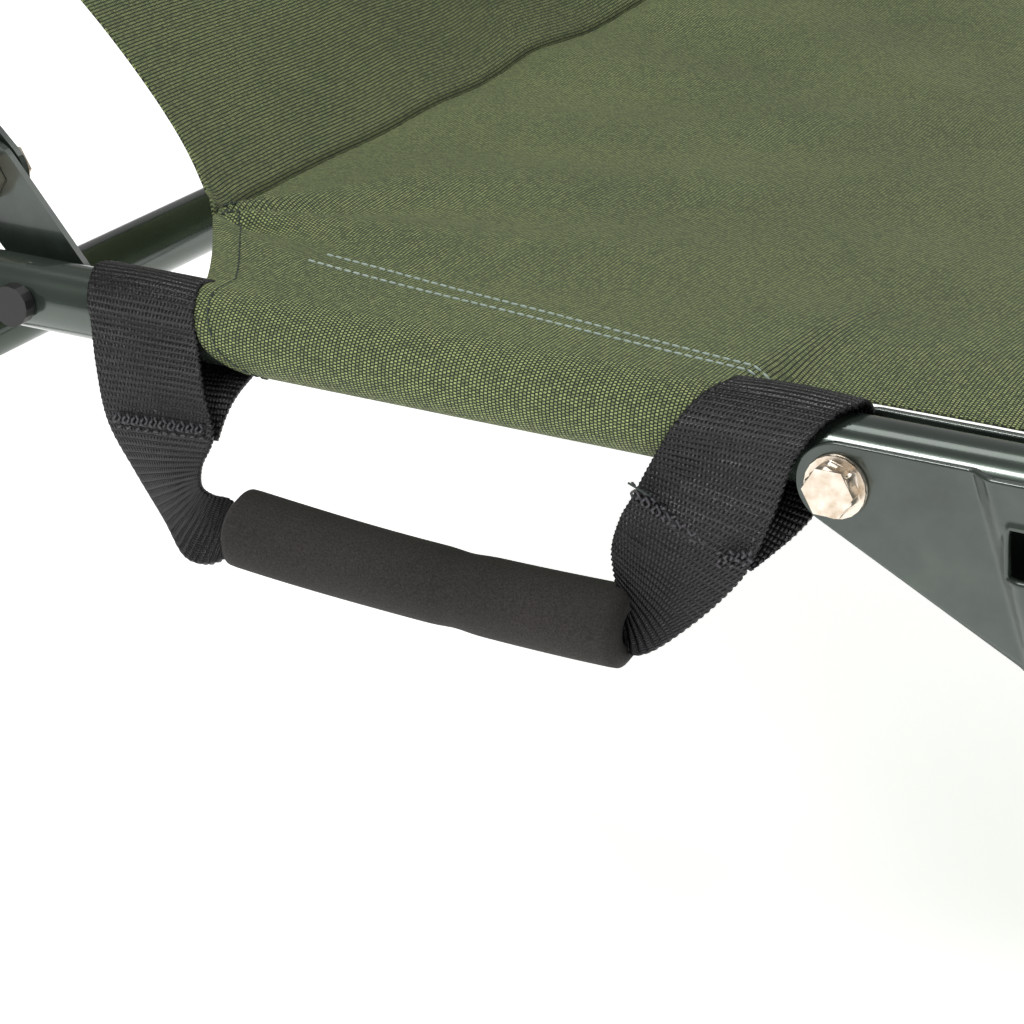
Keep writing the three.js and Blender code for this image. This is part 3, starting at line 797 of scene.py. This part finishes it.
    def outer_panel(
        self, node: str, place: Callable, span: tuple[float, float], half: float,
        sleeve: tuple[float, float], edge: Callable[[Array], Array]
    ) -> Object:
        """A head or foot panel: a sagging bed, sleeves on its side tubes and a rolled end.

        Args:
            node: the CAD node that it stands for.
            place: turns (along, y, up) into the row frame.
            span: the panel's start and its end tube.
            half: middle plane to the side tube's axis.
            sleeve: the stretch of side tube that is covered.
            edge: how far inboard the cloth ends before it.
        """
        start, end = span
        u = spaced((start, *sleeve, end), (40, 70, 24))
        corner = np.clip((u - (end - self.bend)) / self.bend, 0, 1)
        rounded = self.bend * (1 - np.sqrt(1 - corner**2)) + 14 * smooth((u - sleeve[1]) / 8)
        free = np.where(u > sleeve[1], np.maximum(0, rounded), edge(u))
        v = np.linspace(-1, 1, 161)
        yy = v * (half - np.minimum(free, half * 0.3))[:, None]
        uu = u[:, None] + 0 * yy
        inboard = np.clip((half - np.abs(yy)) / half, 0, 1)
        middle = smooth((uu - start) / 130) * smooth((end - 14 - uu) / 130)
        folds = 3.6 * np.sin((uu + 0.6 * np.abs(yy)) / 24 + np.sin(yy / 47))
        folds *= np.exp(-(uu - start) / 150)
        folds += 1.6 * np.sin((uu - 0.4 * yy) / 41) + 0.8 * np.sin((0.5 * uu + yy) / 17)
        zz = self.top - self.sag * smooth(inboard * 1.1) * middle
        zz = zz + folds * smooth(inboard * 4) * middle
        roll = np.linspace(0, np.radians(215), 18)[1:, None] + 0 * v
        uu_all, yy_all, zz_all, arc = (np.vstack(pair) for pair in (
            (uu, end + self.sleeve_r * np.sin(roll)), (yy, yy[-1] + 0 * roll),
            (zz, self.top * np.cos(roll)), (uu, end + self.sleeve_r * roll)))
        parts = [(bundle(uu_all, yy_all, zz_all), bundle(arc, yy_all))]
        rows = u[(u >= sleeve[0] - 1e-6) & (u <= sleeve[1] + 1e-6)]
        parts += [self.sleeve(rows, half, side, np.zeros_like(rows)) for side in Side]
        return self.panel(node, parts, place)

    def build(self) -> None:
        """Makes the three panels and joins the head panel to the seat across its fold."""
        layout = self.layout
        self.seat_panel()
        LOG.info("seat cloth made")
        seam_along = float(layout.level(self.seam_x, self.top)[0])
        narrow = self.corner - (layout.half - layout.head_half)

        def head_edge(u: Array) -> Array:
            wide = narrow + (65.0 - narrow) * (1 - np.exp(-(u - seam_along) / 22))
            return wide * (1 - smooth((u - 45) / (self.head_sleeve[0] - 45)))

        def foot_edge(u: Array) -> Array:
            reach = self.foot_sleeve[0] - self.end_x
            return self.tail_y * (1 - smooth((u - self.end_x) / reach)) ** 0.9

        head = self.outer_panel(
            "head_cloth", layout.head, (seam_along, HEAD_END), layout.head_half,
            self.head_sleeve, head_edge)
        self.sew_to_seat(head, seam_along)
        start = layout.place(np.array([self.seam_x - 25, 0, self.top]))
        end = layout.head(np.array([70.0, 0, self.top]))
        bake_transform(head)
        LOG.info("head cloth made")
        foot = self.outer_panel(
            "foot_cloth", layout.place, (self.end_x, layout.foot_end), layout.half,
            self.foot_sleeve, foot_edge)
        start, end = (layout.place([x, 0, 0]) for x in (410.0, 452.0))
        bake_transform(foot)
        LOG.info("foot cloth made")

    def sew_to_seat(self, head: Object, seam_along: float) -> None:
        """Bends the head panel's first stretch down to the fold seam, to meet the seat cloth."""
        layout = self.layout
        co = np.zeros(len(head.data.vertices) * 3)
        head.data.vertices.foreach_get("co", co)
        local = (co.reshape(-1, 3) - layout.origin) / MM
        y = local[:, 1]
        along, up = layout.level(local[:, 0], local[:, 2])
        share = 1 - smooth((along - seam_along) / (110 - seam_along))
        seam = self.seam(y)
        target_along, target_up = layout.level(seam, self.height(seam, y))
        new_along = along + share * (target_along - seam_along)
        new_up = up + share * (target_up - up)
        points = layout.head(bundle(new_along, y, new_up))
        head.data.vertices.foreach_set("co", points.astype(np.float32).ravel())
        head.data.update()


# ---- the carry handle
@dataclass
class CarryHandle(Builder):
    """Black webbing looped round the near rail, gathered into a foam grip."""

    loop_r: float = 12.7
    over_cloth_r: float = 14.0
    half_width: float = 19.2
    webbing_thick: float = 1.4
    row_pitch: float = 1.9
    rib_height: float = 0.16
    grip_r: float = 12.0
    grip_half: float = 66.0
    bore_r: float = 5.5

    def hang(self, obj: Object) -> None:
        """Bakes a piece's place into its points."""
        start, end = (self.layout.near(np.array([0.0, -16.0, z])) for z in (-14.0, -28.0))
        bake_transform(obj)

    def ribbon(self, name: str, node: str, controls: Sequence[Sequence[float]]) -> None:
        """Webbing on a smooth curve through rows of centre x, y, z and half-width x, y, z."""
        curve = through(controls, 760)
        across = np.linspace(-1, 1, 33)
        centre, half = curve[:, :3], curve[:, 3:]
        run = running(np.linalg.norm(np.diff(centre, axis=0), axis=1))
        rib = -np.cos(2 * np.pi * run / self.row_pitch)
        face = unit(np.cross(np.gradient(centre, axis=0), half), 1e-9)
        half = half * (1 + 0.012 * rib)[:, None]
        points = centre[:, None] + across[None, :, None] * half[:, None]
        cupped = 0.5 * np.sin(run / 9)[:, None] * np.cos(across * 2.2)
        soft = cupped + self.rib_height * rib[:, None]
        points = points + soft[..., None] * face[:, None]
        uv = bundle(across * 19, run[:, None]) * MM
        faces = grid_faces(len(curve), len(across))
        obj = make_mesh(name, self.layout.near(points), faces, uv)
        thicken(obj, self.webbing_thick)
        self.hang(obj)
        self.fit(obj, Slot.WEBBING, node)

    def loop(self, radius: float, *along: float) -> list[list[float]]:
        """Control rows round the rail; along holds the places in front, above, behind, below."""
        angles = np.linspace(185, -70, 12)
        middle = np.interp(-angles, [-185, -90, 0, 70], along)
        return [[x, radius * math.cos(a), radius * math.sin(a), self.half_width, 0, 0]
                for x, a in zip(middle, np.radians(angles))]

    def build(self) -> None:
        """Makes both straps, their bar stitches, a loose thread end and the grip."""
        head_side = [
            [-56, -19, -56, 0, 2, 4.5], [-66, -19, -57, 0, 3, 6], [-73, -19, -57.5, 1, 5, 9],
            [-80, -19, -57, 3.5, 3, 9.5], [-86, -18.5, -51, 6.5, 0.5, 6.5],
            [-91, -18.3, -41, 12, 0, 3], [-93.5, -17.8, -28.5, 18.8, 0, 1.2],
            [-98, -15.6, -13, 19.2, 0, 0.5],
            *self.loop(self.loop_r, -101.5, -107.5, -99, -91),
            [-90, -8.5, -17, 19, 0, 1], [-92, -12.5, -23.5, 18.9, 0, 1.2],
            [-93.5, -15.4, -31, 18.8, 0, 1.2],
        ]
        foot_side = [
            [56, -19, -58, 0, 2, -4.5], [63, -19, -58.5, 1.5, -2, -6.5],
            [67, -19.5, -54.5, 6, -1.5, -8.5], [73, -19.3, -43, 13.5, -0.5, -8],
            [79.5, -18.6, -32, 17.8, 0, -6.5], [83.5, -18, -24.5, 18.9, 0, -5],
            [88, -16, -13, 19.2, 0, -3],
            *self.loop(self.over_cloth_r, 92, 105, 104, 97),
            [94, -8.5, -17, 19, 0, -4], [88, -12.5, -23, 18.9, 0, -5],
            [82, -15.6, -29, 18.9, 0, -5],
        ]
        self.ribbon("head_side_strap_woven", "head_side_handle_strap", head_side)
        self.ribbon("foot_side_strap_woven", "foot_side_handle_strap", foot_side)
        bars = (
            ("head", -93.5, -28.5, 0.064, 0.0, 33.0), ("foot", 77.0, -23.6, -0.55, 0.0, 24.0),
            ("foot_end", 97.5, -31.0, 0.28, 0.5, 11.0))
        for tag, x, z, tilt, lift, width in bars:
            t = np.linspace(-0.5, 0.5, 70) * width
            normal = np.tile([0.0, -1.0, 0.1], (len(t), 1))
            for row in range(3):
                wiggle = 0.8 * np.sin(t * 1.9 + 2 * row)
                places = bundle(x + t, -18.9 - lift, z + t * tilt + wiggle + row * 1.3)
                name = f"{tag}_strap_bar_{row}"
                obj = stitch_row(name, self.layout.near(places), normal, 1.9, 0.42)
                self.finishes.dress(obj, "thread_bar")
                self.hang(obj)
        loose = [[71, -18.2, -17], [69, -19.4, -15.6], [66.6, -19.6, -14.6], [64.4, -19.2, -14.0]]
        end = self.layout.near(through(loose, 24))
        thread = pipe("loose_thread_end", end, 0.34 * MM, 0.08 * MM, 10)
        self.finishes.dress(thread, "thread_dark")
        self.hang(thread)
        self.grip()
        LOG.info("handle made")

    def grip(self) -> None:
        """The foam grip: a rounded, slightly pinched sleeve that hangs 2 mm in the middle."""
        reach, rounding = self.grip_half, 3.0
        x = np.linspace(-reach, reach, 61)
        path = self.layout.near(bundle(x, -19.0, -56 - 0.030 * x - 2.0 * (1 - (x / reach) ** 2)))
        circle, _ = circles_along(path, 64)
        u = np.linspace(0, 1, len(x))
        ends = np.clip(np.minimum(u, 1 - u) * 2 * reach / rounding, 0, 1)
        radius = self.grip_r - rounding * (1 - np.sqrt(1 - (1 - ends) ** 2))
        radius = radius - 0.5 * np.exp(-(((x - 12) / 5) ** 2)) - 0.4 * np.sin(np.pi * u) ** 2
        outer = path[:, None] + circle * radius[:, None, None] * MM
        inner = (path[:, None] + circle * self.bore_r * MM)[::-1]
        points = np.concatenate([outer, inner])
        obj = make_mesh("handle_grip_foam", points, grid_faces(len(points), 64, True, True))
        weld(obj, SHELL_MERGE)
        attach(obj, "handle")
        self.fit(obj, Slot.FOAM, "handle_grip")


# ---- the pressed bracket and its bolt
@dataclass
class LegBracket(Builder):
    """A pressed channel over the rail: two cheeks, a web along the lower edge, and a bolt.

    The cheeks' outline is measured from the pivot: a round nose, a level top edge up to the heel,
    and a lower edge that slopes to the knee; both edges then run steeply down to the toe.
    """

    pivot: tuple[float, float] = (125.0, -4.0)
    nose_r: float = 12.0
    slope: float = math.radians(27)
    heel: float = 82.7
    knee: tuple[float, float] = (69.7, -49.0)
    toe: tuple[float, float] = (86.4, -97.2)
    length: float = 116.7
    steep: float = 2.904
    sheet: float = 1.8
    face: float = 13.5
    joggle: float = 4.2
    window: tuple[float, float, float, float] = (50.5, 73.0, -15.0, -1.0)

    def outline(self, x: Array) -> tuple[Array, Array]:
        """The cheek's lower and upper edge at each x."""
        r = self.nose_r
        nose = np.sqrt(np.maximum(r * r - x * x, 0))
        lower_x = -r * math.sin(self.slope)
        top = np.where(x < 0, nose, r)
        top = np.where(x > self.heel, r - (x - self.heel) * self.steep, top)
        bottom = np.where(x < lower_x, -nose, -10.7 - (x - lower_x) * 0.5095)
        for (turn, z), fall in ((self.knee, -self.steep), (self.toe, 0.344)):
            bottom = np.where(x > turn, z + (x - turn) * fall, bottom)
        return bottom, top

    def cheek(self, name: str, side: Side, outward: int) -> Object:
        """One cheek; the outboard one, -1, is pressed outwards past the leg and has a window."""
        left, right, sill, lintel = self.window
        nose = -self.nose_r * np.cos(np.linspace(0, np.pi / 2, 30))
        x = np.unique(np.concatenate([nose, np.linspace(0, self.length, 220), [left, right]]))
        bottom, top = self.outline(x)
        inside = smooth((x - 20) / 15) * (1 - smooth((x - 76) / 6))
        low = (1 - inside) * (bottom * 2 + top) / 3 + inside * sill
        high = (1 - inside) * (bottom + top * 2) / 3 + inside * lintel
        t = np.linspace(0, 3, 40)
        knots = np.stack([bottom, low, high, top], axis=1)
        zz = np.array([np.interp(t, range(4), row) for row in knots])
        xx = x[:, None] + 0 * zz
        faces = grid_faces(*zz.shape)
        press = 0.0
        if outward < 0:
            past = xx * 0.946 + zz * 0.326 - 38.5
            beside = np.maximum(np.maximum(left - xx, xx - right), 0)
            above = np.maximum(np.maximum(sill - zz, zz - lintel), 0)
            rim = 0.9 * np.exp(-((np.hypot(beside, above) / 1.3) ** 2))
            press = self.joggle * smooth(past / 7.5) + rim
            eps = 1e-4
            hole = (beside < eps) & (above < eps)
            faces = faces[~hole.reshape(-1)[faces].all(axis=1)]
        yy = self.from_middle(side, outward * (self.face + self.sheet / 2 + press))
        points = bundle(xx + self.pivot[0], yy, zz + self.pivot[1])
        obj = make_mesh(name, self.layout.place(points), faces)
        weld(obj, 0.01 * MM)
        thicken(obj, self.sheet)
        return obj

    def from_middle(self, side: Side, inboard: Array | float) -> Array | float:
        """Turns a place inboard of the rail into y from the middle plane."""
        return side.value * (self.layout.half - inboard)

    def web(self, name: str, side: Side) -> Object:
        """The web: a flat strip along the lower edge, from 30 to 84 mm past the pivot."""
        along, across = np.linspace(30, 84, 12)[:, None], np.linspace(-self.face, self.face, 8)
        out = self.nose_r - self.sheet / 2
        sine, cosine = math.sin(self.slope), math.cos(self.slope)
        x = self.pivot[0] - out * sine + along * cosine
        z = self.pivot[1] - out * cosine - along * sine
        points = self.layout.place(bundle(x, self.from_middle(side, across), z))
        obj = make_mesh(name, points, grid_faces(12, 8))
        thicken(obj, self.sheet)
        return obj

    def bolt(self, side: Side) -> None:
        """A flanged hexagon bolt: six flats, cut at the corners by a shallow cone."""
        sides, half_flat = 96, 6.5
        turn = np.linspace(0, 2 * np.pi, sides, endpoint=False)
        flat = half_flat / np.cos((turn + 0.32) % (np.pi / 3) - np.pi / 6)
        rings = (
            (0.2, 0.0), (9.0, 0.0), (9.2, 0.6), (8.8, 1.3), (flat + 0.5, 1.9), (flat, 2.2),
            (flat, 5.6), (np.minimum(flat, 7.1), 6.1), (np.minimum(flat, half_flat), 6.6),
            (4.6, 6.55), (0.05, 6.35))
        base = -self.face - self.sheet
        points = [
            bundle(self.pivot[0] + radius * np.cos(turn), self.from_middle(side, base - height),
                   self.pivot[1] + radius * np.sin(turn))
            for radius, height in rings]
        faces = grid_faces(len(rings), sides, True, True)
        name = f"{side.tag}_bracket_bolt_head"
        obj = make_mesh(name, self.layout.place(np.array(points)), faces)
        weld(obj, 1e-6)
        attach(obj, "seat")
        self.fit(obj, Slot.BOLT)

    def build(self) -> None:
        """Makes the bracket and bolt on both rails."""
        for side in Side:
            pieces = [
                self.cheek(f"{side.tag}_outer_cheek", side, -1),
                self.cheek(f"{side.tag}_inner_cheek", side, 1),
                self.web(f"{side.tag}_bracket_web", side)]
            for obj in pieces:
                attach(obj, "seat_leg_frame")
                self.fit(obj, Slot.STEEL)
            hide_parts(f"{side.tag}_leg_bracket")
            self.bolt(side)
        LOG.info("brackets made")


# ---- carried-over CAD nodes
def dress_frame(frame: dict, finishes: Finishes) -> None:
    """Gives each CAD node that still shows the finish of its record slot."""
    slots = {row["node"]: row["material_slot"] for row in frame["record"]["subparts"]}
    for name, obj in frame["nodes"].items():
        if not obj.hide_render:
            finishes.dress(obj, slots[name])
    LOG.info("frame nodes dressed")


# ---- studio
@dataclass
class Studio:
    """A white sweep, broad soft lights and the camera beside the handle, in degrees and metres."""

    layout: Layout
    azimuth: float = 29.0
    elevation: float = 23.0
    distance: float = 0.93
    lens: float = 113.6
    floor_half: float = 20.0
    floor_z: float = -0.0005

    @staticmethod
    def stand(name: str, data: bpy.types.ID, place: Vector, back: Vector) -> Object:
        """Stands a camera or light at place, its back turned to a direction."""
        obj = bpy.data.objects.new(name, data)
        obj.location = place
        obj.rotation_mode = "QUATERNION"
        obj.rotation_quaternion = back.to_track_quat("Z", "Y")
        bpy.context.scene.collection.objects.link(obj)
        return obj

    def camera(self) -> None:
        """Places the camera so that the rail over the grip lies above and left of the middle."""
        a, e = math.radians(self.azimuth), math.radians(self.elevation)
        back = Vector((math.sin(a) * math.cos(e), -math.cos(a) * math.cos(e), math.sin(e)))
        right = Vector((math.cos(a), math.sin(a), 0))
        up = back.cross(right)
        data = bpy.data.cameras.new("camera")
        data.lens, data.sensor_width = self.lens, 36.0
        data.clip_start = 0.01
        aim = Vector(self.layout.near(np.array([0.0, 0.0, 0.0])))
        place = aim + back * self.distance + right * 0.015 - up * 0.0397
        bpy.context.scene.camera = self.stand("camera", data, place, back)

    def light(self, name: str, place: tuple, aim: tuple, size: tuple, power: float) -> None:
        """An area light at place, turned to aim."""
        data = bpy.data.lights.new(name, "AREA")
        data.shape, data.size, data.size_y, data.energy = "RECTANGLE", size[0], size[1], power
        self.stand(name, data, Vector(place), Vector(place) - Vector(aim))

    def floor(self) -> None:
        """A white floor that glows a little, so that it reads as an even sweep."""
        signs = ((-1, -1), (1, -1), (1, 1), (-1, 1))
        corners = [[x * self.floor_half, y * self.floor_half, self.floor_z] for x, y in signs]
        floor = make_mesh("floor", np.array(corners), [[0, 1, 2, 3]])
        material = bpy.data.materials.new("white_sweep")
        material.use_nodes = True
        tree = material.node_tree
        plug(tree, tree.nodes["Principled BSDF"], Base_Color=linear("#fbfbfb"), Roughness=0.9,
             Emission_Color=linear("#ffffff"), Emission_Strength=0.75)
        floor.data.materials.append(material)

    def build(self) -> None:
        """Makes the floor, world, lights and camera."""
        world = bpy.data.worlds.new("studio")
        bpy.context.scene.world = world
        world.use_nodes = True
        tree = world.node_tree
        plug(tree, tree.nodes["Background"], Color=linear("#ffffff"), Strength=0.27)
        self.floor()
        self.light("key", (-0.9, -1.9, 2.2), (-0.1, -0.2, 0.3), (1.0, 0.4), 30.0)
        self.light("strip", (0.9, -2.2, 0.9), (0.0, -0.3, 0.3), (0.35, 1.6), 6.0)
        self.light("back", (0.3, 2.0, 1.8), (0.0, 0.0, 0.3), (2.0, 0.6), 7.0)
        self.light("overhead", (-0.3, 0.15, 2.3), (-0.1, -0.3, 0.3), (2.6, 0.6), 20.0)
        bpy.context.scene.view_settings.view_transform = "Standard"
        self.camera()


def main() -> None:
    """Builds the cot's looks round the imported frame, in order."""
    logging.basicConfig(level=logging.INFO, format="%(name)s: %(message)s")
    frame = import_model()
    layout = Layout.read(frame)
    finishes = Finishes()
    finishes.build()
    Studio(layout).build()
    TubeFrame(layout, finishes).build(frame)
    Bed(layout, finishes).build()
    CarryHandle(layout, finishes).build()
    LegBracket(layout, finishes).build()
    dress_frame(frame, finishes)


if __name__ == "__main__":
    main()
